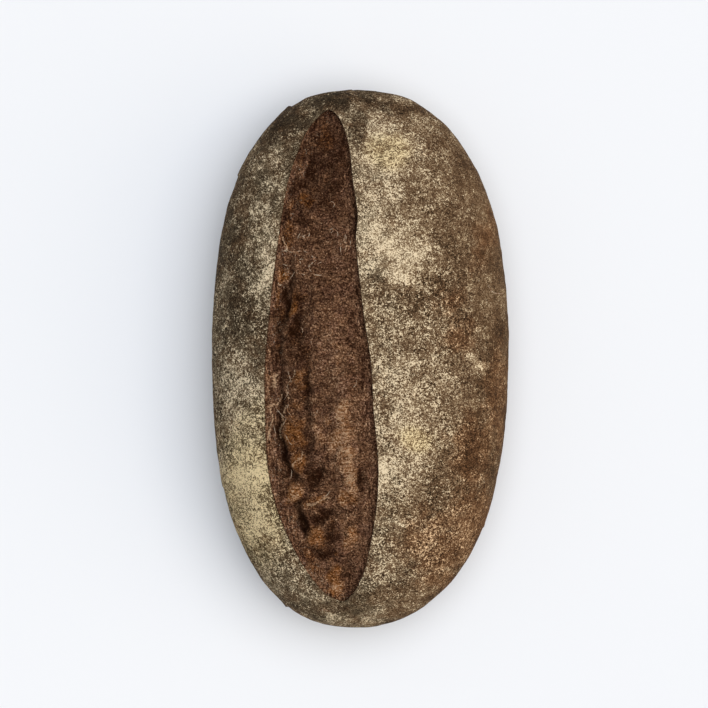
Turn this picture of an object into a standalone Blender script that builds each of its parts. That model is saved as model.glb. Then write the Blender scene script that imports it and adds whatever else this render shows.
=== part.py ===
"""A whole rye loaf: an oval country bread on a flat base, torn open along one long cut.

Sizes are in millimetres and the finished mesh is scaled to metres. The origin is the
middle of the flat base, +Z is up and +Y runs along the loaf.
"""

import math

import bmesh
import bpy
from mathutils import Vector, noise

METRES = 0.001

# The whole loaf
LENGTH = 280.0
WIDTH = 154.6
HEIGHT = 80.0
BELT_HEIGHT = 26.0
BASE_TUCK = 11.0
HALF_LENGTH = LENGTH / 2
HALF_WIDTH = WIDTH / 2
RISE = HEIGHT - BELT_HEIGHT

# How full the curves are: 2 is an ellipse, more is squarer
HEAD_FULLNESS = 2.42
TAIL_FULLNESS = 2.28
DOME_FULLNESS = 2.2
FLANK_FULLNESS = 2.1

# The loaf bends a little, so that both ends lean towards -X
BOW = 2.6

# Slow unevenness of the crust: height, and the length of one swelling
SWELLING = 1.3
SWELLING_LENGTH = 62.0

# The tear's two edges, seen from above and read from the head tip to the tail tip
HEAD_TIP = (-16.6, 127.0)
TAIL_TIP = (-9.4, -123.2)
LEFT_EDGE = (
    (-22.0, 123.2), (-27.8, 115.6), (-32.2, 105.0), (-37.0, 89.5), (-39.9, 72.6), (-41.9, 59.0),
    (-44.8, 39.0), (-46.8, 19.0), (-48.5, -3.0), (-48.2, -25.5), (-47.6, -50.0), (-44.4, -70.0),
    (-37.9, -88.0), (-30.1, -103.5), (-21.8, -115.6), (-15.6, -121.0),
)
RIGHT_EDGE = (
    (-11.4, 122.9), (-8.1, 115.1), (-5.6, 104.5), (-4.1, 89.0), (-1.8, 72.3), (-2.6, 59.0),
    (-0.7, 39.0), (1.7, 19.0), (5.0, -3.0), (6.1, -25.3), (8.4, -50.0), (8.0, -70.0),
    (5.6, -87.8), (2.6, -103.3), (-2.0, -115.5), (-5.9, -121.0),
)

# The crust's broken edge: how far the torn surface starts below it, and how far
# that surface reaches in under the lip
LEFT_STEP = 2.2
RIGHT_STEP = 4.2
TIP_STEP = 0.45
LEFT_REACH = -0.8
RIGHT_REACH = 0.9
LIP_DROP = 0.8
LIP_OVERHANG = 0.4
EAR_LIFT = 1.0
EAR_WIDTH = 7.0

# A gap where the right lip has come clear of the torn surface
GAP_PLACE = 71.0
GAP_LENGTH = 8.0
GAP_DEPTH = 2.6

# The torn surface swells a little between its edges
TORN_SWELL = 0.6
TORN_WIDTH = 45.0

# The deep split along the left side: x, y and depth, from head to tail
SPLIT = (
    (-34.0, 58.0, 0.0), (-35.0, 44.0, 3.0), (-36.6, 34.0, 4.0), (-39.6, 22.0, 4.4),
    (-38.9, 6.0, 4.4), (-38.4, -20.0, 5.2), (-36.8, -45.0, 5.2), (-33.0, -68.0, 4.8),
    (-29.6, -84.0, 4.0), (-27.6, -97.0, 0.0),
)
SPLIT_CLIFF = 3.6

# Soft swells of the torn surface, and hollows where the rise is negative:
# x, y, half width, half length, turn in degrees and rise
SWELLS = (
    (-8.6, -22.0, 9.0, 50.0, 4, 3.0),
    (-19.0, 18.0, 13.0, 28.0, 6, 1.6),
    (-26.4, -30.0, 4.0, 46.0, 2, -2.6),
    (-30.2, 13.0, 5.0, 10.5, -6, -4.0),
    (-26.4, 90.3, 7.0, 14.0, 4, -3.2),
    (-31.6, 75.0, 3.4, 7.0, 0, -2.4),
    (-12.0, 92.0, 9.0, 24.0, 2, 2.0),
    (-20.0, 62.0, 8.0, 14.0, -8, -2.2),
    (-8.0, 56.0, 8.0, 11.0, 6, 2.0),
    (-31.0, -84.0, 4.8, 9.0, 12, -4.0),
    (-17.0, -77.5, 10.5, 6.4, 14, -3.6),
    (-18.0, -99.0, 11.0, 5.2, -16, -3.4),
    (0.4, -60.0, 3.8, 12.0, 4, -2.8),
    (-5.0, -107.0, 4.2, 10.0, 8, -3.0),
    (-22.0, -56.0, 5.2, 9.0, 10, -2.4),
)

# Crags with steep sides on the torn surface: x, y, half width, half length, turn in
# degrees and how far their tops stay below the dome
CRAGS = (
    (-33.4, 22.6, 4.6, 10.0, -14, 1.2),
    (-30.2, -12.4, 6.6, 11.0, 8, 0.0),
    (-32.2, -26.8, 6.2, 8.0, -12, 0.7),
    (-31.4, -40.4, 7.0, 9.2, 8, -0.3),
    (-27.2, -55.8, 5.8, 9.4, 16, 0.3),
    (-32.6, -66.4, 6.6, 7.4, -14, 0.9),
    (-21.0, -71.4, 12.5, 3.4, 20, 0.8),
    (-18.6, -88.6, 10.0, 7.8, -20, -0.7),
    (-8.4, -57.6, 6.8, 11.0, 4, -0.7),
    (-6.2, -88.4, 5.2, 11.0, -6, 0.2),
    (-11.8, -110.6, 5.8, 10.0, -10, 0.0),
    (-28.8, 79.6, 4.6, 5.4, 0, 2.2),
)
CRAG_HEIGHT = 5.5
CRAG_SQUARENESS = 3.4
CRAG_BLEND = 0.5

# The crags' outlines wander by this much over these lengths
WANDER = 2.6
WANDER_LENGTH = 11.0
FINE_WANDER = 0.9
FINE_WANDER_LENGTH = 4.6

# Fixes where the wandering goes, so that each build gives the same loaf
WANDER_SEED = 6

# Roughness of the torn surface between the crags
TORN_ROUGHNESS = 1.1
TORN_GRAIN = 9.0

# Flakes lifted off the crust round the belt: tip x and y, direction in which the flake
# runs back from its tip, its length and its lift
FLAKES = (
    (-36.3, 131.9, 214, 12.0, 1.5),
    (-65.6, 96.9, 48, 9.0, 1.3),
    (-4.6, 139.2, 180, 9.0, 0.9),
    (-72.6, -67.0, 92, 9.0, 0.9),
    (-37.9, -128.8, 150, 7.0, 1.0),
    (65.0, -88.5, 60, 7.0, 0.9),
)
FLAKE_SPREAD = 6.0

# How finely the surfaces are divided
EDGE_STEPS = 80
TORN_STEPS = 30
CRUST_STEPS = 13
FLANK_STEPS = 5
CURVE_STEPS = 24
BELT_POINTS = 400
HEADING_STEP = 0.004

# The belt's points are drawn towards the ends, so that the crust's rings stay square
RING_DRIFT = 0.045

CRUST_COLOUR = (0.205, 0.142, 0.082, 1.0)
TORN_COLOUR = (0.105, 0.050, 0.024, 1.0)


def mix(start, end, part):
    """The value that lies the given part of the way from start to end."""
    return start + (end - start) * part


def ramp(start, end, value):
    """A soft step: 0 at start, 1 at end."""
    part = min(max((value - start) / (end - start), 0.0), 1.0)
    return part * part * (3.0 - 2.0 * part)


def soft_least(first, second, blend):
    """The smaller of two values, rounded where they meet."""
    part = min(max(0.5 + 0.5 * (second - first) / blend, 0.0), 1.0)
    return mix(second, first, part) - blend * part * (1.0 - part)


def bow(y):
    """Sideways shift of the loaf's middle line."""
    return -BOW * (y / HALF_LENGTH) ** 2


def fullness(y):
    """Fullness of the outline on the head's side, above 0, and on the tail's side."""
    return HEAD_FULLNESS if y > 0.0 else TAIL_FULLNESS


class Route:
    """A line through plan points that can be walked by the share of its length."""

    def __init__(self, points):
        self.points = points
        self.reach = [0.0]
        for start, end in zip(points, points[1:]):
            self.reach.append(self.reach[-1] + (end - start).length)

    def at(self, share):
        goal = min(max(share, 0.0), 1.0) * self.reach[-1]
        low, high = 0, len(self.reach) - 1
        while high - low > 1:
            middle = (low + high) // 2
            low, high = (middle, high) if self.reach[middle] <= goal else (low, middle)
        span = self.reach[high] - self.reach[low]
        return self.points[low].lerp(self.points[high], (goal - self.reach[low]) / span)


class Round:
    """A left and a right route from head to tail, walked as one round.

    A place on the round is a number: 0 is the head, 1 the tail, reached down the left
    side, and 2 the head again, reached up the right side.
    """

    def __init__(self, left, right):
        self.left = Route(left)
        self.right = Route(right)

    def at(self, place):
        place %= 2.0
        return self.left.at(place) if place <= 1.0 else self.right.at(2.0 - place)

    def inward(self, place):
        """Unit plan vector from the line towards its inside."""
        heading = (self.at(place + HEADING_STEP) - self.at(place - HEADING_STEP)).normalized()
        return Vector((-heading.y, heading.x))


def smooth_loop(corners):
    """A closed curve that runs smoothly through the corners, CURVE_STEPS to each span."""
    count = len(corners)
    points = []
    for index in range(count):
        before, start, end, after = (corners[(index + shift) % count] for shift in (-1, 0, 1, 2))
        for step in range(CURVE_STEPS):
            part = step / CURVE_STEPS
            bend = (before - start * 3.0 + end * 3.0 - after) * -part ** 3
            bend += (before * 2.0 - start * 5.0 + end * 4.0 - after) * part ** 2
            points.append(start + ((end - before) * part + bend) * 0.5)
    return points


def make_edge():
    """The tear's edge as a round."""
    corners = [HEAD_TIP, *LEFT_EDGE, TAIL_TIP, *reversed(RIGHT_EDGE)]
    loop = smooth_loop([Vector(corner) for corner in corners])
    tail = (len(LEFT_EDGE) + 1) * CURVE_STEPS
    right = loop[tail:] + loop[:1]
    return Round(loop[:tail + 1], right[::-1])


def belt_side(side):
    """One half of the widest outline, from the head to the tail: side is -1 or 1."""
    points = []
    for step in range(BELT_POINTS + 1):
        angle = math.pi * (0.5 - step / BELT_POINTS)
        power = 2.0 / fullness(angle)
        x = side * HALF_WIDTH * max(math.cos(angle), 0.0) ** power
        y = math.copysign(HALF_LENGTH * abs(math.sin(angle)) ** power, angle)
        points.append(Vector((x + bow(y), y)))
    return points


EDGE = make_edge()
BELT = Round(belt_side(-1), belt_side(1))


def dome_height(plan):
    """Height of the plain dome over a plan point."""
    power = fullness(plan.y)
    across = abs((plan.x - bow(plan.y)) / HALF_WIDTH) ** power
    along = abs(plan.y / HALF_LENGTH) ** power
    inside = max(1.0 - (across + along) ** (DOME_FULLNESS / power), 0.0)
    return BELT_HEIGHT + RISE * inside ** (1.0 / DOME_FULLNESS)


def outward(point):
    """Direction in which the crust faces at a point."""
    facing = Vector((
        (point.x - bow(point.y)) / HALF_WIDTH ** 2,
        point.y / HALF_LENGTH ** 2,
        max(point.z - BELT_HEIGHT, 0.0) / RISE ** 2,
    ))
    return facing.normalized()


def flake_lift(point):
    """How far the flakes raise the crust at a point."""
    lift = 0.0
    for tip_x, tip_y, degrees, length, height in FLAKES:
        angle = math.radians(degrees)
        back = (point.x - tip_x) * math.cos(angle) + (point.y - tip_y) * math.sin(angle)
        aside = (point.y - tip_y) * math.cos(angle) - (point.x - tip_x) * math.sin(angle)
        level = point.z - BELT_HEIGHT
        if 0.0 <= back <= length:
            nearness = max(1.0 - math.hypot(aside, level) / FLAKE_SPREAD, 0.0)
            lift += height * (1.0 - back / length) * nearness
    return lift


def on_crust(point):
    """The point moved out or in by the crust's unevenness, which ends at the base."""
    near_base = ramp(0.0, BELT_HEIGHT / 2, point.z)
    near_belt = mix(0.5, 1.0, ramp(BELT_HEIGHT, BELT_HEIGHT + RISE / 3, point.z))
    swelling = SWELLING * near_belt * noise.noise(point / SWELLING_LENGTH)
    return point + outward(point) * near_base * (swelling + flake_lift(point))


def over_dome(plan):
    """The uneven dome's point over a plan point."""
    return on_crust(Vector((plan.x, plan.y, dome_height(plan))))


def edge_turn(place):
    """1 where the tear's edge runs along the loaf, down to 0 at the two tips."""
    return abs(EDGE.inward(place).x)


def rightness(place):
    """0 on the left edge, 1 on the right edge, and between them at the tips."""
    return ramp(1.0, -1.0, EDGE.inward(place).x)


def foot_plan(place):
    """Plan place of the torn surface's border, in under the lip."""
    reach = mix(LEFT_REACH, RIGHT_REACH, rightness(place)) * edge_turn(place)
    return EDGE.at(place) - EDGE.inward(place) * reach


def foot_depth(place):
    """Depth of the torn surface's border below the dome."""
    y = EDGE.at(place).y
    gap = GAP_DEPTH * math.exp(-((y - GAP_PLACE) / GAP_LENGTH) ** 2)
    step = mix(LEFT_STEP, RIGHT_STEP + gap, rightness(place))
    return step * mix(TIP_STEP, 1.0, edge_turn(place))


def split_depth(plan, left_foot):
    """How far the long split sinks the torn surface: gentle on its left, a cliff on its right."""
    for (x_a, y_a, depth_a), (x_b, y_b, depth_b) in zip(SPLIT, SPLIT[1:]):
        if y_b <= plan.y <= y_a:
            part = ramp(y_a, y_b, plan.y)
            x = mix(x_a, x_b, part)
            depth = mix(depth_a, depth_b, part)
            if plan.x > x:
                return depth * (1.0 - ramp(0.0, SPLIT_CLIFF, plan.x - x))
            return depth * min(max((plan.x - left_foot.x) / (x - left_foot.x), 0.0), 1.0) ** 1.5
    return 0.0


def oval_distance(plan, x, y, half_width, half_length, degrees):
    """Distance from the middle of a turned oval, 1 on its edge."""
    angle = math.radians(degrees)
    across = (plan.x - x) * math.cos(angle) + (plan.y - y) * math.sin(angle)
    along = (plan.y - y) * math.cos(angle) - (plan.x - x) * math.sin(angle)
    return math.hypot(across / half_width, along / half_length)


def wandering(plan):
    """The plan point moved about, which breaks up the outlines of the torn forms."""
    point = Vector((plan.x, plan.y, 0.0))
    shift = noise.noise_vector(point / WANDER_LENGTH) * WANDER
    shift += noise.noise_vector(point / FINE_WANDER_LENGTH) * FINE_WANDER
    return plan + shift.to_2d()


def torn_depth(plan, left_foot, share, across):
    """Depth of the torn surface below the dome, given the place across the tear."""
    width = (EDGE.at(2.0 - share) - EDGE.at(share)).length
    inside = ramp(0.0, 0.10, across) * ramp(1.0, 0.90, across) * min(width / TORN_WIDTH, 1.0)
    depth = mix(foot_depth(share), foot_depth(2.0 - share), across)
    moved = wandering(plan)
    shaped = depth + split_depth(moved, left_foot) - TORN_SWELL
    for x, y, half_width, half_length, degrees, rise in SWELLS:
        away = oval_distance(moved, x, y, half_width, half_length, degrees)
        shaped -= rise * ramp(1.0, 0.0, away)
    for x, y, half_width, half_length, degrees, top in CRAGS:
        away = oval_distance(moved, x, y, half_width, half_length, degrees)
        crag = top + CRAG_HEIGHT * away ** CRAG_SQUARENESS
        shaped = soft_least(shaped, crag, CRAG_BLEND)
    grain = Vector((plan.x, plan.y, 0.0)) / TORN_GRAIN
    shaped += TORN_ROUGHNESS * noise.noise(grain)
    return mix(depth, shaped, inside)


def torn_point(share, across):
    """A point of the torn surface: share runs from head to tail, across from left to right."""
    left_foot = foot_plan(share)
    plan = left_foot.lerp(foot_plan(2.0 - share), across)
    point = over_dome(plan)
    point.z -= torn_depth(plan, left_foot, share, across)
    return point


def belt_place(place):
    """The place on the belt that belongs to a place on the tear's edge."""
    return place + RING_DRIFT * math.sin(2.0 * math.pi * place)


def crust_point(place, part):
    """A point of the crust: part runs from the tear's edge, 0, down to the belt, 1."""
    edge = EDGE.at(place)
    plan = edge.lerp(BELT.at(belt_place(place)), math.sin(part * math.pi / 2))
    point = over_dome(plan)
    away = (plan - edge).length / EAR_WIDTH
    point.z += EAR_LIFT * math.exp(-away * away) * rightness(place) * edge_turn(place)
    return point


def lip_point(place):
    """The rounded lip just inside the crust's broken edge."""
    turn = edge_turn(place)
    over = EDGE.inward(place) * LIP_OVERHANG * turn
    drop = LIP_DROP * mix(TIP_STEP, 1.0, turn)
    return crust_point(place, 0.0) + Vector((over.x, over.y, -drop))


def flank_point(place, part):
    """A point of the side below the belt: part runs from the belt, 0, to the base, 1."""
    belt = BELT.at(belt_place(place))
    angle = part * math.pi / 2
    power = 2.0 / FLANK_FULLNESS
    tuck = BASE_TUCK * (1.0 - max(math.cos(angle), 0.0) ** power)
    facing = outward(Vector((belt.x, belt.y, BELT_HEIGHT)))
    height = BELT_HEIGHT * (1.0 - math.sin(angle) ** power) if part < 1.0 else 0.0
    return on_crust(Vector((belt.x - facing.x * tuck, belt.y - facing.y * tuck, height)))


def band_point(column, row):
    """A point of the band that runs round the loaf, from the torn surface down to the base."""
    place = column / EDGE_STEPS
    if row == 0:
        return torn_point(place, 0.0) if place <= 1.0 else torn_point(2.0 - place, 1.0)
    if row == 1:
        return lip_point(place)
    if row <= CRUST_STEPS + 2:
        return crust_point(place, (row - 2) / CRUST_STEPS)
    return flank_point(place, (row - 2 - CRUST_STEPS) / FLANK_STEPS)


def add_grid(bm, columns, rows, place, material):
    """Adds a grid of columns by rows of faces, with each corner where place puts it."""
    corners = []
    for row in range(rows + 1):
        corners.append([bm.verts.new(place(column, row) * METRES) for column in range(columns + 1)])
    for lower, upper in zip(corners, corners[1:]):
        for column in range(columns):
            face = bm.faces.new((lower[column], upper[column], upper[column + 1], lower[column + 1]))
            face.material_index = material


def make_material(name, colour, roughness):
    """A plain Principled material."""
    material = bpy.data.materials.new(name)
    material.use_nodes = True
    shader = material.node_tree.nodes["Principled BSDF"]
    shader.inputs["Base Color"].default_value = colour
    shader.inputs["Roughness"].default_value = roughness
    shader.inputs["Metallic"].default_value = 0.0
    return material


def build_loaf():
    """The loaf as one closed mesh: torn surface, crust and flat base."""
    bm = bmesh.new()
    add_grid(bm, 2 * EDGE_STEPS, 2 + CRUST_STEPS + FLANK_STEPS, band_point, 0)
    add_grid(
        bm, TORN_STEPS, EDGE_STEPS,
        lambda column, row: torn_point(row / EDGE_STEPS, column / TORN_STEPS), 1,
    )
    bmesh.ops.remove_doubles(bm, verts=bm.verts, dist=0.00001)
    base_edges = [edge for edge in bm.edges if edge.is_boundary]
    bmesh.ops.contextual_create(bm, geom=base_edges)
    bmesh.ops.recalc_face_normals(bm, faces=bm.faces)
    mesh = bpy.data.meshes.new("rye_loaf")
    bm.to_mesh(mesh)
    bm.free()
    mesh.shade_smooth()
    mesh.set_sharp_from_angle(angle=math.radians(60))
    mesh.materials.append(make_material("floured crust", CRUST_COLOUR, 0.85))
    mesh.materials.append(make_material("torn crust", TORN_COLOUR, 0.65))
    loaf = bpy.data.objects.new("rye_loaf", mesh)
    bpy.context.scene.collection.objects.link(loaf)


for leftover in list(bpy.data.objects):
    bpy.data.objects.remove(leftover, do_unlink=True)
noise.seed_set(WANDER_SEED)
build_loaf()
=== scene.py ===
"""The looks of a whole rye loaf: floured crust, torn cut and loose threads of dough.

Sizes in the tables are millimetres, on the frame's axes: +Z up, +Y along the loaf.
"""

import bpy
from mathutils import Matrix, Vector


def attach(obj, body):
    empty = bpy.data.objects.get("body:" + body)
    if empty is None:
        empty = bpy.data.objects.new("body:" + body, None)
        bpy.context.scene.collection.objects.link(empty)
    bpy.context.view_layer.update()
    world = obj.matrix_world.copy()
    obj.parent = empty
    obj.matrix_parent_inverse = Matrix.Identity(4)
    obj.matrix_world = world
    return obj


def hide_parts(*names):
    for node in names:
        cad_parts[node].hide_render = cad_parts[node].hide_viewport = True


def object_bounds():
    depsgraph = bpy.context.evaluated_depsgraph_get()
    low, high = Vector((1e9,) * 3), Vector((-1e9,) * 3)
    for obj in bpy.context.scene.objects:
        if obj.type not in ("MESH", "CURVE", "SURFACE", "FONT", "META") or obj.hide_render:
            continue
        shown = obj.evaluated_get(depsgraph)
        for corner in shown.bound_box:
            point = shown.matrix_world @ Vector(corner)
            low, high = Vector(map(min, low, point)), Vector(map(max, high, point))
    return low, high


bl_info = {
    "name": "Rye Loaf",
    "version": (1, 0, 0),
    "blender": (4, 5, 0),
    "location": "3D View > Sidebar > Rye Loaf",
    "description": "Dresses a floured rye loaf with a torn cut, and sets its floor and light",
    "category": "Object",
}

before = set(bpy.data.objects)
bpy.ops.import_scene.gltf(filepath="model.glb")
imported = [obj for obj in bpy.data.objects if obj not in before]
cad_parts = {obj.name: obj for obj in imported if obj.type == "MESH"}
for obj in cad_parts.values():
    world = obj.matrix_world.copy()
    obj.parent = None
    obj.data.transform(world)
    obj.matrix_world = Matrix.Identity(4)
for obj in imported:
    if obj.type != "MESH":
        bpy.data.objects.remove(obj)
CAD_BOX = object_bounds()

import math
import random

import bpy
import numpy as np
from mathutils import Vector, noise

MM = 0.001

# How full the curves are: 2 is an ellipse, more is squarer
HEAD_FULLNESS = 2.42
TAIL_FULLNESS = 2.28
DOME_FULLNESS = 2.2
FLANK_FULLNESS = 2.1

# The loaf bends a little, so that both ends lean towards -X
BOW = 2.6

SWELLING_LENGTH = 62.0

# The tear's two edges, seen from above and read from the head tip to the tail tip
HEAD_TIP = (-16.6, 127)
TAIL_TIP = (-9.4, -123.2)
LEFT_EDGE = (
    (-22, 123.2), (-27.8, 115.6), (-32.2, 105), (-37, 89.5), (-39.9, 72.6), (-41.9, 59),
    (-44.8, 39), (-46.8, 19), (-48.5, -3), (-48.2, -25.5), (-47.6, -50), (-44.4, -70),
    (-37.9, -88), (-30.1, -103.5), (-21.8, -115.6), (-15.6, -121),
)
RIGHT_EDGE = (
    (-11.4, 122.9), (-8.1, 115.1), (-5.6, 104.5), (-4.1, 89), (-1.8, 72.3), (-2.6, 59),
    (-0.7, 39), (1.7, 19), (5, -3), (6.1, -25.3), (8.4, -50), (8, -70),
    (5.6, -87.8), (2.6, -103.3), (-2, -115.5), (-5.9, -121),
)

# The crust's broken edge
LEFT_STEP = 2.2
RIGHT_STEP = 3.0
TIP_STEP = 0.45
LEFT_REACH = -0.8
RIGHT_REACH = 0.9
LIP_DROP = 0.8
LIP_OVERHANG = 0.4
EAR_LIFT = 1.0
EAR_WIDTH = 7.0

# A gap where the right lip has come clear of the torn surface
GAP_PLACE = 71.0
GAP_LENGTH = 8.0
GAP_DEPTH = 2.6
GAP_CREVICE = 3.6
GAP_WIDTH = 1.7

# The torn surface curls up where it meets its edges
CURL = 1.5
CURL_WIDTH = 2.6

# The torn surface swells a little between its edges
TORN_SWELL = 0.6
TORN_WIDTH = 45.0

# The deep split along the left side: x, y and depth, from head to tail
SPLIT = (
    (-34, 58, 0), (-35, 44, 2.4), (-36.6, 34, 4), (-38.6, 22, 4.2),
    (-39.8, 6, 3.6), (-40.8, -14, 3.4), (-41.2, -34, 3.8), (-38.8, -46, 4.8),
    (-34.6, -62, 4), (-31, -80, 4), (-28.2, -97, 0),
)
SPLIT_CLIFF = 3.6

# Soft swells of the torn surface, and hollows where the rise is negative:
# x, y, half width, half length, turn in degrees and rise
SWELLS = (
    (-8.6, -22, 9, 50, 4, 3), (-19, 18, 13, 28, 6, 1.6), (-26.4, -30, 4, 46, 2, -2.6),
    (-30.6, 13, 4.4, 13, -12, -3.2), (-26.4, 90.3, 7, 14, 4, -3.2), (-31.6, 75, 3.4, 7, 0, -2.4),
    (-12, 92, 9, 24, 2, 2), (-20, 62, 8, 14, -8, -2.2), (-8, 56, 8, 11, 6, 2),
    (-29, -83, 4, 7, 12, -4), (-17, -77.5, 10.5, 6.4, 14, -3.6), (-18, -99, 11, 5.2, -16, -3.4),
    (0.4, -60, 3.8, 12, 4, -2.8), (-5, -107, 4.2, 10, 8, -3), (-22, -56, 5.2, 9, 10, -2.4),
)

# Crags with steep sides: x, y, half width, half length, turn in degrees, how far the top
# stays below the dome, how orange and how pale the top is (paler dough with a painted
# highlight on the top), and how much shade is painted into the gap on its left and on its right
CRAGS = (
    (-35, 24.4, 3.2, 5.6, -14, 2.2, 0.9, 0, 0.8, 0.5),
    (-31.2, -9.4, 5.2, 8.2, 8, 0.1, 0.7, 0, 1, 0.4),
    (-31.4, -22.6, 5.4, 6.6, -12, 0.9, 0.5, 0, 1, 0.4),
    (-33.8, -36.6, 6.6, 9.4, 12, -0.3, 1, 0, 0.9, 0.4),
    (-31.4, -51, 4.4, 7.4, 14, 0.3, 1, 0.05, 1, 0.9),
    (-33.8, -67, 5.4, 6.8, -24, 0.8, 1, 0.5, 0.6, 0.6),
    (-22.6, -71.6, 10, 2.6, 18, 1, 0.6, 0.1, 0, 0.3),
    (-22.8, -89.4, 6, 8.4, 34, -0.5, 1, 0.1, 0.9, 0.6),
    (-7.6, -50, 5.4, 17, 3, -0.6, 0.3, 0.55, 0, 0.9),
    (-6.4, -89, 4.6, 8.4, -14, 0.2, 0.6, 0.45, 0.5, 0),
    (-13.6, -111, 4.4, 9.2, -4, 0, 1, 0.25, 0.1, 0.4),
    (-28.6, 80.6, 3.2, 3.8, 0, 2.2, 0.8, 0, 0.4, 0.2),
)
CRAG_HEIGHT = 5.5
CRAG_SQUARENESS = 3.4
CRAG_BLEND = 0.9
# The painted shade in the gap beside a crag: its width as a share of the crag, and the length of its
# breaks
GAP_REACH = 0.4
GAP_BREAK = 6.0
# Painted highlight: the lobes are painted lightest a little up and left of their middles, the side the
# light falls on
LOBE_SHIFT = Vector((0.9, -1.2))

# Patches of colour on the torn surface: x, y, half width, half length, turn in degrees,
# how orange, how pale and how dark; the dark is painted shade in the hollows and the split
# over darker dough in places, and the pale is paler dough with painted highlights on raised tops
TORN_PATCHES = (
    (-17, 106, 17, 32, 10, 0.1, 0, 0.6), (-18.2, 112, 6, 12, 0, 0.5, 0, 0),
    (-8.9, 103, 3.4, 18, 0, 0, 0, 0.9), (-24.6, 119, 4, 4, 0, 0, 0, 0.8),
    (-25.4, 96, 3.4, 10, -16, 0, 0, 0.95), (-32.6, 87, 2.4, 6, 0, 0, 0, 0.85),
    (-27, 88, 5, 4, 0, 0, 0, 0.8), (-31.2, 101, 3, 8, -20, 0.6, 0, 0),
    (-26.2, 77.5, 4, 2.2, 0, 0.8, 0, 0), (-8.2, 76, 3.2, 5, 0, 0, 0.2, 0),
    (-28, 69, 6, 5, 0, 0, 0, 0.75), (-18, 82, 18, 13, 0, 0.1, 0, 0.48),
    (-36.8, 66, 3.6, 18, -8, 0.55, 0, 0.4), (-32, 81, 3, 5, 0, 0, 0, 0.8),
    (-40.2, 43, 3.6, 5, 0, 0.95, 0.1, 0), (-43.2, 29, 2.6, 13, 0, 0.9, 0, 0),
    (-38, 29, 2.4, 9, -8, 0, 0, 0.9), (-41.4, 10, 2.6, 17, 0, 0.2, 0, 0.65),
    (-31.6, 30, 4.4, 8, 0, 0.5, 0, 0.7), (-32.6, 14, 3.6, 13, -10, 0.2, 0, 1.05),
    (-30, 4, 3, 6, 20, 0.2, 0, 0.8), (-26.6, 4, 3, 10, 0, 0.3, 0, 0.25),
    (-20, 33, 8, 9, 0, 0, 0, 0.25), (-12, 12, 5, 14, 0, 0.15, 0.35, 0),
    (-5, 16, 2.6, 14, 0, 0, 0, 0.22), (-26.6, -14, 2.2, 10, 0, 0, 0, 0.9),
    (-27.4, -42.4, 3, 4.2, 0, 0, 0, 0.6), (-38, -47, 4, 5, 0, 0, 0, 0.95),
    (-40.8, -20, 2, 9, 0, 0, 0, 0.3), (-43, 2, 3, 8, 0, 0, 0, 0.5),
    (-36.2, -9, 1.5, 8, -6, 0, 0, 0.45), (-38, -23, 1.5, 8, -8, 0, 0, 0.5),
    (-40.2, -36, 1.5, 8, -6, 0, 0, 0.45), (-41, 22, 2.4, 8, 0, 0.4, 0, 0.6),
    (-41.4, -52, 2.6, 8, 0, 0, 0, 0.5), (-36.4, -57, 2.6, 4, 0, 0, 0, 0.9),
    (-19.5, -33, 4, 7, 0, 0.3, 0.4, 0), (-12, -12, 5, 5, 0, 0.1, 0.6, 0),
    (-13.9, 50, 2.6, 5, 0, 0, 0.45, 0), (-9.6, -28, 6, 13, 0, 0.5, 0.8, 0),
    (-10.6, -43, 8.6, 9, 0, 0.5, 0.85, 0), (-6, -59, 5.6, 11, 0, 0.6, 1.05, 0),
    (-8, -70, 6, 8, 0, 0.6, 0.6, 0), (-21, -35, 5, 5, 0, 0.35, 0.45, 0),
    (-0.4, -6, 2.2, 14, 0, 0, 0, 0.32), (-24.6, -59, 4.6, 8, 0, 0, 0, 1),
    (-17.6, -55, 3, 4, 0, 0, 0, 0.35), (-0.9, -58.5, 1.6, 9, 2, 0, 0, 0.75),
    (-28, -69.6, 2.8, 2.8, 24, 0, 0, 0.8), (-27, -81, 2.2, 5, 0, 0, 0, 1.1),
    (-19.8, -78.4, 7.6, 4.6, 16, 0, 0, 0.85), (-15, -88, 3.4, 8, -20, 0.2, 0, 0.8),
    (-18.6, -98.6, 5.4, 3.4, 0, 0, 0, 0.8), (-12.4, -98.4, 2.4, 2.6, 0, 0.6, 0.1, 0),
    (-7, -108.8, 1.6, 5.4, 8, 0, 0, 0.7), (-13, -117, 7, 7, 0, 1, 0.8, 0),
    (-9.4, -36, 6, 19, 0, 0.5, 0.8, 0), (-3.6, -40, 5, 30, 0, 0.1, 0.38, 0),
    (-14, 4, 9, 30, 0, 0.1, 0.32, 0), (-26, -101, 5, 10, 20, 0.45, 0, 0.1),
    (-6.6, -73, 4.4, 5.4, 0, 0.3, 0.45, 0), (-45.6, -31, 2.6, 12, 0, 0, 0.35, 0),
)

# Thin pale crests, where the crust of a crag has cracked: points x and y along each
CRESTS = (
    ((-33.7, -3.5), (-35.7, -9.5), (-36.7, -14.5), (-35.2, -19.5)),
    ((-37.2, -22.5), (-38.6, -28), (-40, -34.5), (-40.2, -40.5)),
    ((-41.2, -17.5), (-43.7, -20.5), (-44.7, -26.5), (-45.2, -32.5), (-46.7, -40.5)),
    ((-29.9, -45.5), (-32.4, -50.5), (-33.4, -54.5)),
    ((-25.7, -73.5), (-18.2, -70.5), (-14.2, -69.5)),
    ((-41.8, -7), (-43.4, -12)),
    ((-39.4, 61), (-37.6, 57.6), (-38.2, 55.6)),
    ((-8.4, 61), (-6.6, 57), (-7.2, 52.6)),
)
CREST_WIDTH = 1.2

# The torn forms' outlines wander by this much over these lengths
WANDER = 1.8
WANDER_LENGTH = 11.0
FINE_WANDER = 2.6
FINE_WANDER_LENGTH = 5.6
# Fixes where the wandering goes, so that each run gives the same loaf
WANDER_SEED = 6

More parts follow.
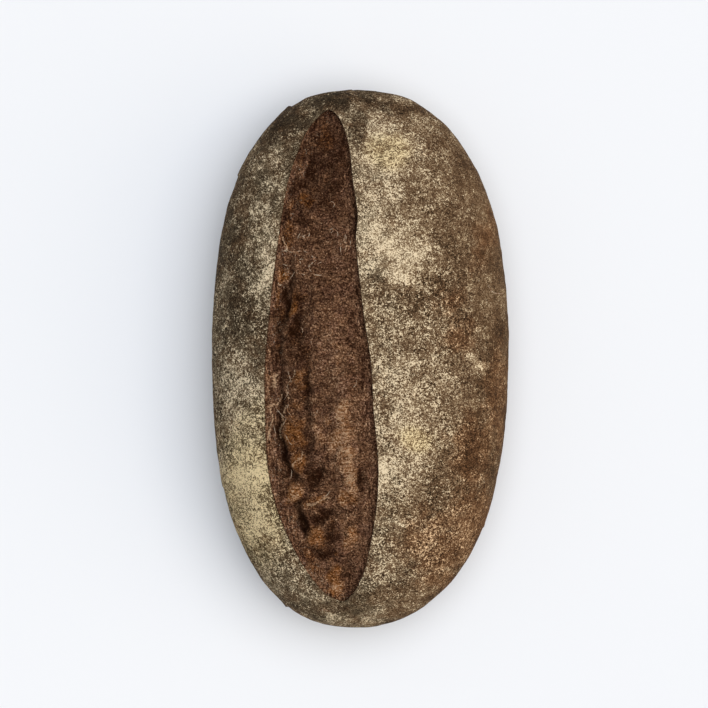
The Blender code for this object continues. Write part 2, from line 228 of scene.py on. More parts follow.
# Roughness of the torn surface: height and grain, from coarse to fine
TORN_ROUGHNESS = 1.1
TORN_GRAIN = 9.0
FINE_TORN = ((0.62, 4.4), (0.5, 2.3), (0.4, 1.3))
FOLD_HEIGHT = 0.8
FOLD_GRAIN = 5.2
FIBRE_HEIGHT = 0.2
FIBRE_LENGTH = 9.0
FIBRE_WIDTH = 1.7
SMOOTH_BAND = 7.0

# Fine unevenness of the crust: height and grain
FINE_CRUST = ((0.5, 17), (0.22, 6.5), (0.12, 3.1))

# Flakes lifted off the crust round the belt: tip x and y, direction in which the flake
# runs back from its tip, its length and its lift
FLAKES = (
    (-36.3, 131.9, 214, 12, 1.5),
    (-65.6, 96.9, 48, 9, 1.3),
    (-4.6, 139.2, 180, 9, 0.9),
    (-72.6, -67, 92, 9, 0.9),
    (-37.9, -128.8, 150, 7, 1),
    (65, -88.5, 60, 7, 0.9),
)
FLAKE_SPREAD = 6.0

# Flour on the crust: cover on the left of the tear's middle, beside its right edge and far
# out on the right, with the x between which it thins out
LEFT_COVER = 0.19
RIGHT_COVER = 0.42
FAR_COVER = -0.05
TEAR_MIDDLE = -20.0
THINNING = (5.0, 62.0)
# Patches of more or less flour: x, y, half width, half length, turn and change
FLOUR_PATCHES = (
    (12, 104, 15, 13, 0, 0.34), (-8, 131, 18, 7, 0, -0.46), (3, 67, 8, 13, 0, 0.42),
    (50, 54, 8, 8, 0, -0.2), (25, 20, 9, 8, 0, -0.2), (-46, 31, 4, 6, 0, -0.34),
    (14, 46, 11, 12, 0, 0.24), (20, 53, 18, 16, -25, 0.44), (26, 30, 28, 10, 0, -0.33),
    (8, 31, 10, 9, 0, -0.16), (38, 8, 13, 24, 0, 0.13), (20, 44, 9, 6, 0, 0.16),
    (36, 55, 8, 8, 0, -0.28), (50, -4, 7, 8, 0, 0.16), (62, 43, 8, 9, 0, 0.28),
    (62, -80, 8, 10, 0, 0.26), (61, 72, 9, 26, 0, 0.14), (30, -44, 12, 10, 0, 0.1),
    (32, -18, 19, 18, 0, 0.23), (12, -4, 12, 10, 0, 0.1), (58, -2, 6, 8, 0, 0.62),
    (12, -29, 7, 9, 0, -0.36), (24, -38, 16, 13, -30, 0.44), (11, -56, 10, 16, 0, 0.4),
    (4, -70, 6, 12, 0, 0.4), (52, -94, 11, 14, 0, 0.28), (40, -112, 8, 7, 0, 0.12),
    (27, -77, 9, 7, 0, 0.14), (34, -28, 12, 8, 0, 0.14), (24, -70, 20, 12, 0, -0.12),
    (18, -92, 26, 24, 0, -0.18), (1, -94, 6, 9, 0, 0.12), (10, -126, 50, 13, 0, -0.46),
    (10, 131, 50, 12, 0, -0.48), (6, 123, 9, 5, 0, 0.2), (-1, 114, 7, 8, 0, -0.6),
    (-46, 114, 9, 8, 0, -0.3), (-38, 93, 4, 8, 0, -0.16), (-34, 117, 27, 13, -35, -0.5),
    (-8, -132, 16, 6, 0, -0.34), (-24, -120, 7, 6, 0, 0.34), (30, -128, 14, 8, 0, 0.14),
    (-46, 46, 9.5, 28, 0, 0.56), (-64, 45, 12, 7, 0, 0.16), (-62, -36, 15, 34, 0, 0.2),
    (-60, -84, 14, 16, 0, 0.22), (-61, -4, 9, 16, 0, 0.32), (-46, -96, 6, 18, 0, 0.14),
    (-66, 66, 18, 36, 0, -0.22), (58, -50, 10, 16, 0, -0.12), (-58, 24, 20, 14, 0, -0.32),
    (-57, -16, 23, 20, 0, 0.14), (-50, -17, 6, 10, 0, 0.44), (-58, -40, 7, 7, 0, -0.16),
    (-58, -64, 26, 33, 0, 0.53), (-50, -60, 8, 15, 0, 0.24), (-44, -90, 20, 17, 0, 0.26),
    (-34, -114, 16, 9, 30, 0.14), (-72, 66, 9, 30, 0, -0.12),
)
# The steep sides keep this share of the flour and lose this much more, from this far
# above the widest line down
FLANK_SHARE = 0.4
FLANK_LOSS = 0.3
FLANK_RISE = 18.0
# The crust turns browner between these x
BROWNING = (-20.0, 60.0)

# The flour's patches wander by this much over these lengths
DRIFT = 8.0
DRIFT_LENGTH = 22.0
FINE_DRIFT = 5.5
FINE_DRIFT_LENGTH = 7.0

# Rustier crust: x, y, half width, half length, turn and how rusty
RUST_PATCHES = (
    (60, -88, 22, 30, 20, 1), (70, -20, 9, 42, 0, 0.8), (50, 12, 9, 12, -20, 0.8),
    (34, -84, 14, 16, 0, 0.6), (64, 62, 9, 24, -20, 0.6), (40, -112, 18, 12, -40, 0.7),
    (44, 30, 12, 9, 20, 0.6), (56, -46, 14, 22, 0, 1), (40, -96, 24, 18, 0, 0.9),
)

# Yellower flour: x, y, half width, half length and turn
YELLOW_PATCHES = (
    (-54, -68, 24, 50, 0), (14, 104, 14, 12, 0), (26, -40, 10, 8, -30),
)

# Loose threads of dough on the torn surface: x, y, heading in degrees, length and curl
THREADS = (
    (-38.6, 57, 300, 6, 60), (-40, 54, 20, 3.6, -80), (-12, 61, 70, 8, 90),
    (-10, 52, 100, 6, -70), (-8.4, 58, 40, 5, 60), (-5, 60, 250, 5, 40),
    (-32, 44, 200, 6, 50), (-30, 47, 110, 4, 40), (-26, 46, 60, 5, -50),
    (-36.6, -4, 262, 9, 40), (-37, -13, 290, 8, -60), (-36, -22, 240, 7, 50),
    (-37.8, -28, 275, 9, -30), (-38.2, -37, 285, 7, 45), (-43, -20, 268, 12, 25),
    (-44, -33, 280, 8, -50), (-46, -38, 250, 5, 120), (-36, -60, 30, 5, 60),
    (-20, -69, 10, 6, 40), (-30, 12, 70, 5, 60), (-24, 6, 120, 5, -60),
    (-4, -14, 40, 4, 90), (-14, 76, 60, 4, 70), (-24, -28, 10, 4, 60),
)
# Short threads strewn over one part of the tear: how many, x and y from and to
STREWN = (22, (-40, 40), (-6, 66))
# One stalk of straw and one pale fibre on the crust
STALKS = ((64, 38, 296, 12, 26), (-21, -128.6, 12, 5, -40))
THREAD_STEPS = 12

# How many grid cells the relief is levelled over, to find its raised and sunken places, which are
# painted lighter and darker as highlight and shade
FINE_CELLS = 3
NEAR_CELLS = 2
WIDE_CELLS = 11

# How finely the surfaces are divided
EDGE_STEPS = 400
TORN_STEPS = 130
CRUST_STEPS = 42
FLANK_STEPS = 9
CURVE_STEPS = 24
BELT_POINTS = 1200
HEADING_STEP = 0.004

# The belt's points are drawn towards the ends, so that the crust's rings stay square
RING_DRIFT = 0.045

# Soft lights: name, bearing from +X towards +Y, elevation and spread in degrees, colour
LIGHTS = (
    ("overhead_light", 25.0, 78.0, 72.0, (0.91, 0.93, 0.985)),
    ("side_light", -15.0, 24.0, 60.0, (1.0, 0.85, 0.62)),
)

# The room's light, the floor, and the camera's place over the loaf
ROOM_COLOUR = (0.86, 0.93, 1.0, 1.0)
FLOOR_SIZE = 60.0
FLOOR_DROP = 0.0002
CAMERA_PLACE = (-0.0037, 0.0025)
SENSOR_WIDTH = 36.0


def mix(start, end, part):
    """The value that lies the given part of the way from start to end."""
    return start + (end - start) * part


def ramp(start, end, value):
    """A soft step: 0 at start, 1 at end."""
    part = min(max((value - start) / (end - start), 0.0), 1.0)
    return part * part * (3.0 - 2.0 * part)


def soft_least(first, second, blend):
    """The smaller of two values, rounded where they meet."""
    part = min(max(0.5 + 0.5 * (second - first) / blend, 0.0), 1.0)
    return mix(second, first, part) - blend * part * (1.0 - part)


class Oval:
    """A turned oval on the plan, with what it carries in its middle."""

    FAR = 2.0

    def __init__(self, x, y, half_width, half_length, degrees, *carried):
        self.x, self.y = x, y
        self.cosine = math.cos(math.radians(degrees))
        self.sine = math.sin(math.radians(degrees))
        self.half_width, self.half_length = half_width, half_length
        self.reach = self.FAR * max(half_width, half_length)
        self.carried = carried

    def distance(self, plan):
        """0 in the middle, 1 on the edge, and FAR well outside."""
        aside, ahead = plan.x - self.x, plan.y - self.y
        if abs(aside) > self.reach or abs(ahead) > self.reach:
            return self.FAR
        across = (aside * self.cosine + ahead * self.sine) / self.half_width
        along = (ahead * self.cosine - aside * self.sine) / self.half_length
        return min(math.hypot(across, along), self.FAR)


class Route:
    """A line through plan points that can be walked by the share of its length."""

    def __init__(self, points):
        self.points = points
        self.reach = [0.0]
        for start, end in zip(points, points[1:]):
            self.reach.append(self.reach[-1] + (end - start).length)

    def at(self, share):
        goal = min(max(share, 0.0), 1.0) * self.reach[-1]
        low, high = 0, len(self.reach) - 1
        while high - low > 1:
            middle = (low + high) // 2
            low, high = (middle, high) if self.reach[middle] <= goal else (low, middle)
        span = self.reach[high] - self.reach[low]
        return self.points[low].lerp(self.points[high], (goal - self.reach[low]) / span)


class Round:
    """A left and a right route from head to tail, walked as one round.

    A place on the round is a number: 0 is the head, 1 the tail, reached down the left
    side, and 2 the head again, reached up the right side.
    """

    def __init__(self, left, right):
        self.left = Route(left)
        self.right = Route(right)

    def at(self, place):
        place %= 2.0
        return self.left.at(place) if place <= 1.0 else self.right.at(2.0 - place)

    def inward(self, place):
        """Unit plan vector from the line towards its inside."""
        heading = (self.at(place + HEADING_STEP) - self.at(place - HEADING_STEP)).normalized()
        return Vector((-heading.y, heading.x))


def smooth_loop(corners):
    """A closed curve that runs smoothly through the corners, CURVE_STEPS to each span."""
    count = len(corners)
    points = []
    for index in range(count):
        before, start, end, after = (corners[(index + shift) % count] for shift in (-1, 0, 1, 2))
        for step in range(CURVE_STEPS):
            part = step / CURVE_STEPS
            bend = (before - start * 3.0 + end * 3.0 - after) * -part ** 3
            bend += (before * 2.0 - start * 5.0 + end * 4.0 - after) * part ** 2
            points.append(start + ((end - before) * part + bend) * 0.5)
    return points


class LoafForm:
    """The loaf's surface, worked out from its sizes. Lengths inside are millimetres."""

    def __init__(self, shape):
        self.half_length = shape.length / MM / 2
        self.half_width = shape.width / MM / 2
        self.belt_height = shape.belt_height / MM
        self.rise = shape.height / MM - self.belt_height
        self.base_tuck = shape.base_tuck / MM
        self.swelling = shape.swelling / MM
        self.roughness = shape.torn_roughness
        corners = [HEAD_TIP, *LEFT_EDGE, TAIL_TIP, *reversed(RIGHT_EDGE)]
        loop = smooth_loop([Vector(corner) for corner in corners])
        tail = (len(LEFT_EDGE) + 1) * CURVE_STEPS
        self.edge = Round(loop[:tail + 1], (loop[tail:] + loop[:1])[::-1])
        self.belt = Round(self.belt_side(-1), self.belt_side(1))
        tables = SWELLS, CRAGS, TORN_PATCHES, FLOUR_PATCHES, YELLOW_PATCHES, RUST_PATCHES
        ovals = [[Oval(*row) for row in table] for table in tables]
        self.swells, self.crags, self.torn_patches = ovals[:3]
        self.flour_patches, self.yellow_patches, self.rust_patches = ovals[3:]
        self.foot = {}
        noise.seed_set(WANDER_SEED)

    def bow(self, y):
        """Sideways shift of the loaf's middle line."""
        return -BOW * (y / self.half_length) ** 2

    def belt_side(self, side):
        """One half of the widest outline, from the head to the tail: side is -1 or 1."""
        points = []
        for step in range(BELT_POINTS + 1):
            angle = math.pi * (0.5 - step / BELT_POINTS)
            power = 2.0 / (HEAD_FULLNESS if angle > 0.0 else TAIL_FULLNESS)
            x = side * self.half_width * max(math.cos(angle), 0.0) ** power
            y = math.copysign(self.half_length * abs(math.sin(angle)) ** power, angle)
            points.append(Vector((x + self.bow(y), y)))
        return points

    def dome_height(self, plan):
        """Height of the plain dome over a plan point."""
        power = HEAD_FULLNESS if plan.y > 0.0 else TAIL_FULLNESS
        across = abs((plan.x - self.bow(plan.y)) / self.half_width) ** power
        along = abs(plan.y / self.half_length) ** power
        inside = max(1.0 - (across + along) ** (DOME_FULLNESS / power), 0.0)
        return self.belt_height + self.rise * inside ** (1.0 / DOME_FULLNESS)

    def outward(self, point):
        """Direction in which the crust faces at a point."""
        facing = Vector((
            (point.x - self.bow(point.y)) / self.half_width ** 2,
            point.y / self.half_length ** 2,
            max(point.z - self.belt_height, 0.0) / self.rise ** 2,
        ))
        return facing.normalized()

    def flake_lift(self, point):
        """How far the flakes raise the crust at a point."""
        lift = 0.0
        for tip_x, tip_y, degrees, length, height in FLAKES:
            if abs(point.x - tip_x) > 2 * length or abs(point.y - tip_y) > 2 * length:
                continue
            angle = math.radians(degrees)
            back = (point.x - tip_x) * math.cos(angle) + (point.y - tip_y) * math.sin(angle)
            aside = (point.y - tip_y) * math.cos(angle) - (point.x - tip_x) * math.sin(angle)
            level = point.z - self.belt_height
            if 0.0 <= back <= length:
                nearness = max(1.0 - math.hypot(aside, level) / FLAKE_SPREAD, 0.0)
                lift += height * (1.0 - back / length) * nearness
        return lift

    def on_crust(self, point):
        """The point moved out or in by the crust's unevenness, which ends at the base."""
        near_base = ramp(0.0, self.belt_height / 2, point.z)
        top = ramp(self.belt_height, self.belt_height + self.rise / 3, point.z)
        swelling = self.swelling * mix(0.5, 1.0, top) * noise.noise(point / SWELLING_LENGTH)
        lift = swelling + self.flake_lift(point)
        return point + self.outward(point) * near_base * lift

    def over_dome(self, plan):
        """The uneven dome's point over a plan point."""
        return self.on_crust(Vector((plan.x, plan.y, self.dome_height(plan))))

    def edge_turn(self, place):
        """1 where the tear's edge runs along the loaf, down to 0 at the two tips."""
        return abs(self.edge.inward(place).x)

    def rightness(self, place):
        """0 on the left edge, 1 on the right edge, and between them at the tips."""
        return ramp(1.0, -1.0, self.edge.inward(place).x)

    def gap_at(self, y):
        """1 in the middle of the gap beside the right lip, down to 0 away from it."""
        return math.exp(-((y - GAP_PLACE) / GAP_LENGTH) ** 2)

    def foot_at(self, place):
        """Plan place and depth of the torn surface's border, in under the lip."""
        if place not in self.foot:
            edge = self.edge.at(place)
            turn = self.edge_turn(place)
            right = self.rightness(place)
            reach = mix(LEFT_REACH, RIGHT_REACH, right) * turn
            gap = GAP_DEPTH * self.gap_at(edge.y)
            step = mix(LEFT_STEP, RIGHT_STEP + gap, right) * mix(TIP_STEP, 1.0, turn)
            self.foot[place] = (edge - self.edge.inward(place) * reach, step)
        return self.foot[place]

    def split_depth(self, plan, left_foot):
        """How far the long split sinks the surface: gentle on its left, a cliff on its right."""
        for (x_a, y_a, depth_a), (x_b, y_b, depth_b) in zip(SPLIT, SPLIT[1:]):
            if y_b <= plan.y <= y_a:
                part = ramp(y_a, y_b, plan.y)
                x = mix(x_a, x_b, part)
                depth = mix(depth_a, depth_b, part)
                if plan.x > x:
                    return depth * (1.0 - ramp(0.0, SPLIT_CLIFF, plan.x - x))
                return depth * min(max((plan.x - left_foot.x) / (x - left_foot.x), 0.0), 1.0) ** 1.5
        return 0.0

    def crest(self, plan):
        """1 on a pale crest, down to 0 beside it."""
        nearest = CREST_WIDTH
        for line in CRESTS:
            for start, end in zip(line, line[1:]):
                if abs(plan.x - start[0]) > 12.0 or abs(plan.y - start[1]) > 12.0:
                    continue
                start, end = Vector(start), Vector(end)
                run = end - start
                part = min(max((plan - start).dot(run) / run.length_squared, 0.0), 1.0)
                nearest = min(nearest, (plan - start - run * part).length)
        return 1.0 - nearest / CREST_WIDTH

    def wandering(self, plan):
        """The plan point moved about, which breaks up the outlines of the torn forms."""
        point = Vector((plan.x, plan.y, 0.0))
        shift = noise.noise_vector(point / WANDER_LENGTH) * WANDER
        shift += noise.noise_vector(point / FINE_WANDER_LENGTH) * FINE_WANDER
        return plan + shift.to_2d()

    def fine_tear(self, plan, from_left, from_right):
        """Fine relief of the torn surface, which stays smoother in a band along each edge."""
        point = Vector((plan.x, plan.y, 0.0))
        rough = sum(height * noise.noise(point / grain) for height, grain in FINE_TORN)
        fold = FOLD_HEIGHT * (abs(noise.noise(point / FOLD_GRAIN)) - 0.25)
        across = Vector((plan.x / FIBRE_LENGTH, plan.y / FIBRE_WIDTH, 0.0))
        rough += fold + FIBRE_HEIGHT * noise.noise(across)
        smooth = ramp(0.0, SMOOTH_BAND, min(from_left, from_right))
        return rough * self.roughness * mix(0.35, 1.0, smooth)

    def torn_point(self, share, across):
        """A point of the torn surface and its marks."""
        left_foot, left_step = self.foot_at(share)
        right_foot, right_step = self.foot_at(2.0 - share)
        plan = left_foot.lerp(right_foot, across)
        width = (right_foot - left_foot).length
        from_left, from_right = across * width, (1.0 - across) * width
        edges = ramp(0.0, 0.1, across) * ramp(1.0, 0.9, across)
        inside = edges * min(width / TORN_WIDTH, 1.0)
        gap = self.gap_at(plan.y)
        depth = mix(left_step, right_step, across)
        curl = CURL * (1.0 - gap) * min(width / TORN_WIDTH, 1.0)
        depth -= curl * max(1.0 - min(from_left, from_right) / CURL_WIDTH, 0.0) ** 2
        depth += GAP_CREVICE * gap * math.exp(-(from_right / GAP_WIDTH) ** 2)
        moved = self.wandering(plan)
        shaped = depth + self.split_depth(moved, left_foot) - TORN_SWELL
        orange = pale = dark = lobe = 0.0
        nearest, beside = Oval.FAR, 0.0
        for swell in self.swells:
            shaped -= swell.carried[0] * ramp(1.0, 0.0, swell.distance(moved))
        for crag in self.crags:
            away = crag.distance(moved)
            top, crag_orange, crag_pale, left_gap_shade, right_gap_shade = crag.carried
            level = top + CRAG_HEIGHT * away ** CRAG_SQUARENESS
            shaped = soft_least(shaped, level, CRAG_BLEND)
            # beside is painted shade for the gap next to the nearest crag
            if away < nearest:
                rightward = ramp(-crag.half_width, crag.half_width, moved.x - crag.x)
                nearest, beside = away, mix(left_gap_shade, right_gap_shade, rightward)
            shown = ramp(1.3, 0.2, away)
            orange = max(orange, crag_orange * shown)
            pale = max(pale, crag_pale * shown)
            # Painted highlight on the lit side of each crag's lobe
            lobe = max(lobe, crag_orange * ramp(1.1, 0.0, crag.distance(moved + LOBE_SHIFT)))
        # Painted shade in the crags' gaps, broken up by noise and kept to a ring round each crag
        breaks = noise.noise(Vector((plan.x, plan.y, 7.0)) / GAP_BREAK)
        beside *= ramp(-0.35, 0.15, breaks)
        beside *= ramp(0.85, 1.0 + GAP_REACH / 2, nearest) * ramp(1.0 + GAP_REACH, 1.0, nearest)
        for patch in self.torn_patches:
            shown = ramp(1.2, 0.2, patch.distance(moved))
            orange = max(orange, patch.carried[0] * shown)
            pale = max(pale, patch.carried[1] * shown)
            dark = max(dark, patch.carried[2] * shown)
        shaped += TORN_ROUGHNESS * noise.noise(Vector((plan.x, plan.y, 0.0)) / TORN_GRAIN)
        # Painted shade: the deeper the torn surface sinks below its border, the darker it is painted
        cavity = ramp(0.5, 5.0, shaped - depth) * inside
        shaped -= self.fine_tear(plan, from_left, from_right)
        sunk = mix(depth, shaped, inside)
        point = self.over_dome(plan)
        point.z -= sunk
        return point, {
            "torn": 1.0,
            "sunk": sunk,
            # The crevice under the right lip is painted dark as shade too
            "cavity": max(cavity, gap * math.exp(-(from_right / GAP_WIDTH) ** 2)),
            "orange": orange * edges,
            "lobe": lobe * edges,
            "pale": pale * edges,
            # dark carries the patches' darker dough and painted shade, and the painted shade in the
            # crags' gaps
            "dark": max(dark, beside),
            "crest": self.crest(moved),
            "from_right": from_right,
            "from_left": from_left,
        }

    def belt_place(self, place):
        """The place on the belt that belongs to a place on the tear's edge."""
        return place + RING_DRIFT * math.sin(2.0 * math.pi * place)

    def crust_point(self, place, part):
        """A point of the crust: part runs from the tear's edge, 0, down to the belt, 1."""
        edge = self.edge.at(place)
        belt = self.belt.at(self.belt_place(place))
        plan = edge.lerp(belt, math.sin(part * math.pi / 2))
        point = self.over_dome(plan)
        away = (plan - edge).length / EAR_WIDTH
        lift = EAR_LIFT * math.exp(-away * away) * self.rightness(place)
        point.z += lift * self.edge_turn(place)
        return point

    def lip_point(self, place):
        """The rounded lip just inside the crust's broken edge."""
        turn = self.edge_turn(place)
        over = self.edge.inward(place) * LIP_OVERHANG * turn
        drop = LIP_DROP * mix(TIP_STEP, 1.0, turn)
        return self.crust_point(place, 0.0) + Vector((over.x, over.y, -drop))

    def flank_point(self, place, part):
        """A point of the side below the belt: part runs from the belt, 0, to the base, 1."""
        belt = self.belt.at(self.belt_place(place))
        angle = part * math.pi / 2
        power = 2.0 / FLANK_FULLNESS
        tuck = self.base_tuck * (1.0 - max(math.cos(angle), 0.0) ** power)
        facing = self.outward(Vector((belt.x, belt.y, self.belt_height)))
        height = self.belt_height * (1.0 - math.sin(angle) ** power) if part < 1.0 else 0.0
        return self.on_crust(Vector((belt.x - facing.x * tuck, belt.y - facing.y * tuck, height)))

    def fine_crust(self, point):
        """The crust point with its fine unevenness, which ends at the base."""
        rough = sum(height * noise.noise(point / grain) for height, grain in FINE_CRUST)
        steady = ramp(0.0, self.belt_height / 3, point.z)
        return point + self.outward(point) * rough * steady

    def flour_cover(self, point):
        """Share of the crust that flour covers at a point."""
        plan = point.to_2d()
        if plan.x < TEAR_MIDDLE:
            cover = LEFT_COVER
        else:
            cover = mix(RIGHT_COVER, FAR_COVER, ramp(*THINNING, plan.x))
        drift = noise.noise_vector(point / DRIFT_LENGTH) * DRIFT
        drift += noise.noise_vector(point / FINE_DRIFT_LENGTH) * FINE_DRIFT
        plan += drift.to_2d()
        for patch in self.flour_patches:
            cover += patch.carried[0] * ramp(1.25, 0.0, patch.distance(plan))
        steep = ramp(self.belt_height + FLANK_RISE, self.belt_height * 0.6, point.z)
        return cover * mix(1.0, FLANK_SHARE, steep) - FLANK_LOSS * steep

    def grit(self, point):
        """How strongly the flour is speckled: less towards the ends and on the far side."""
        ends = 0.22 * ramp(25.0, 60.0, point.y) + 0.4 * ramp(-108.0, -126.0, point.y)
        return 1.0 - ends - 0.42 * ramp(36.0, 68.0, point.x)

    def band_point(self, column, row):
        """A point of the band that runs round the loaf, and its marks."""
        place = column / EDGE_STEPS
        if row == 0:
            if place <= 1.0:
                return self.torn_point(place, 0.0)
            return self.torn_point(2.0 - place, 1.0)
        if row == 1:
            return self.lip_point(place), {"torn": 1.0}
        if row <= CRUST_STEPS + 2:
            point = self.crust_point(place, (row - 2) / CRUST_STEPS)
            fade = ramp(0.0, 0.06, (row - 2) / CRUST_STEPS)
            point = point.lerp(self.fine_crust(point), fade)
        else:
            point = self.flank_point(place, (row - 2 - CRUST_STEPS) / FLANK_STEPS)
            point = self.fine_crust(point)
        yellow = max(ramp(1.3, 0.3, patch.distance(point.to_2d())) for patch in self.yellow_patches)
        rusty = max(
            patch.carried[0] * ramp(1.4, 0.2, patch.distance(point.to_2d()))
            for patch in self.rust_patches
        )
        steep = ramp(self.belt_height + 14.0, self.belt_height, point.z)
        return point, {
            "flour": self.flour_cover(point),
            "brown": max(ramp(*BROWNING, point.x), 0.5 * steep),
            "yellow": yellow,
            "rusty": rusty,
            "grit": self.grit(point),
        }

    def band(self):
        """The crust and the sides, as a grid of points and their marks."""
        return gridded(2 * EDGE_STEPS, 2 + CRUST_STEPS + FLANK_STEPS, self.band_point)

    def tear(self):
        """The torn surface as a grid of points and their marks."""
        points, marks = gridded(
            TORN_STEPS, EDGE_STEPS,
            lambda column, row: self.torn_point(row / EDGE_STEPS, column / TORN_STEPS),
        )
        sunk = np.array(marks["sunk"]).reshape(EDGE_STEPS + 1, TORN_STEPS + 1)
        close, near, wide = (smoothed(sunk, cells) for cells in (FINE_CELLS, NEAR_CELLS, WIDE_CELLS))
        # These marks feed painted light: raised places are painted lighter and sunken ones darker
        marks["grain"] = (close - sunk).ravel().tolist()
        marks["raised"] = (wide - near).ravel().tolist()
        return points, marks


MARKS = (
    "torn", "sunk", "cavity", "raised", "grain", "crest", "dark", "orange", "pale", "lobe",
    "from_right", "from_left", "flour", "brown", "yellow", "rusty", "grit",
)


def gridded(columns, rows, place_at):
    """A grid's corners, laid where place_at puts them, and their marks."""
    points = []
    marks = {mark: [] for mark in MARKS}
    for row in range(rows + 1):
        for column in range(columns + 1):
            point, marked = place_at(column, row)
            points.append(point)
            for mark in MARKS:
                marks[mark].append(marked.get(mark, 0.0))
    return points, marks


def smoothed(heights, cells):
    """The grid of heights as a soft mean over so many cells each way."""
    kernel = np.hanning(2 * cells + 3)[1:-1]
    kernel /= kernel.sum()
    for axis in (0, 1):
        margins = [(cells, cells) if side == axis else (0, 0) for side in (0, 1)]
        padded = np.pad(heights, margins, mode="edge")
        heights = np.apply_along_axis(np.convolve, axis, padded, kernel, "valid")
    return heights


def select_only(*objects):
    """Leaves just these objects selected, the first one active."""
    bpy.ops.object.select_all(action="DESELECT")
    for chosen in objects:
        chosen.select_set(True)
    bpy.context.view_layer.objects.active = objects[0]


def laid_grid(name, columns, rows, points, marks):
    """A grid primitive with its corners laid on the points."""
    bpy.ops.object.select_all(action="DESELECT")
    bpy.ops.mesh.primitive_grid_add(x_subdivisions=columns, y_subdivisions=rows, size=1.0)
    piece = bpy.context.object
    piece.name = piece.data.name = name
    places = np.array([point[:] for point in points]) * MM
    places = np.clip(places, *(np.array(corner) for corner in CAD_BOX))
    piece.data.vertices.foreach_set("co", places.ravel())
    for mark, values in marks.items():
        layer = piece.data.attributes.new(mark, "FLOAT", "POINT")
        layer.data.foreach_set("value", values)
    return piece


class Wire:
    """A node's output, which Python's operators join into Math nodes."""

    def __init__(self, recipe, socket):
        self.recipe = recipe
        self.socket = socket

    def __add__(self, other):
        return self.recipe.math("ADD", self, other)

    __radd__ = __add__

    def __mul__(self, other):
        return self.recipe.math("MULTIPLY", self, other)

    __rmul__ = __mul__

    def __sub__(self, other):
        return self.recipe.math("SUBTRACT", self, other)

    def __rsub__(self, other):
        return self.recipe.math("SUBTRACT", other, self)


class Recipe:
    """A material in the making: node() adds a node, and what it returns can be reckoned with."""

    def __init__(self, name):
        self.material = bpy.data.materials.new(name)
        self.material.use_nodes = True
        self.tree = self.material.node_tree
        self.shader = self.tree.nodes["Principled BSDF"]

    def node(self, kind, settings, inputs, output=0):
        """Adds a node: settings first, then a value or a link for each socket named."""
        made = self.tree.nodes.new(kind)
        for setting, value in settings.items():
            if setting == "stops":
                self.lay_stops(made.color_ramp.elements, value)
            else:
                setattr(made, setting, value)
        for socket, value in inputs.items():
            self.feed(made.inputs[socket], value)
        return Wire(self, made.outputs[output])

    def lay_stops(self, stops, colours):
        """Spreads the colours evenly over a ramp."""
        for index in range(1, len(colours) - 1):
            stops.new(index / (len(colours) - 1))
        for stop, colour in zip(stops, colours):
            stop.color = colour

    def feed(self, socket, value):
        if isinstance(value, Wire):
            self.tree.links.new(value.socket, socket)
        else:
            socket.default_value = value

    def math(self, operation, first, second):
        """One Math node on two numbers."""
        return self.node("ShaderNodeMath", {"operation": operation}, {0: first, 1: second})

    def mark(self, name):
        """A number stored at the mesh's points."""
        return self.node("ShaderNodeAttribute", {"attribute_name": name}, {}, "Fac")

    def places(self):
        """The surface's own coordinates in metres."""
        return self.node("ShaderNodeTexCoord", {}, {}, "Object")

    def stretched(self, scale):
        """The surface's coordinates, stretched along the axes."""
        return self.node("ShaderNodeMapping", {}, {"Vector": self.places(), "Scale": scale})

    def grain(self, size, detail=2.0, roughness=0.5, where=None, distortion=0.0):
        """Noise from 0 to 1 with grains of the given size in millimetres."""
        inputs = {
            "Vector": where or self.places(),
            "Scale": 1.0 / (size * MM) if where is None else 1.0 / size,
            "Detail": detail,
            "Roughness": roughness,
            "Distortion": distortion,
        }
        return self.node("ShaderNodeTexNoise", {}, inputs, "Fac")

    def step(self, value, start, end, low=0.0, high=1.0):
        """A soft step from low to high while value goes from start to end."""
        return self.node(
            "ShaderNodeMapRange", {"interpolation_type": "SMOOTHSTEP"},
            {"Value": value, "From Min": start, "From Max": end, "To Min": low, "To Max": high},
        )

    def ramp(self, value, *colours):
        """Evenly spaced colours, picked by a number from 0 to 1."""
        return self.node("ShaderNodeValToRGB", {"stops": colours}, {"Fac": value})

    def blend(self, factor, first, second, how="MIX"):
        """Two colours mixed by a factor."""
        return self.node(
            "ShaderNodeMix", {"data_type": "RGBA", "blend_type": how},
            {0: factor, 6: first, 7: second}, 2,
        )

    def set(self, **sockets):
        """Sets or links the shader's own sockets, named with _ for a space."""
        for name, value in sockets.items():
            self.feed(self.shader.inputs[name.replace("_", " ")], value)


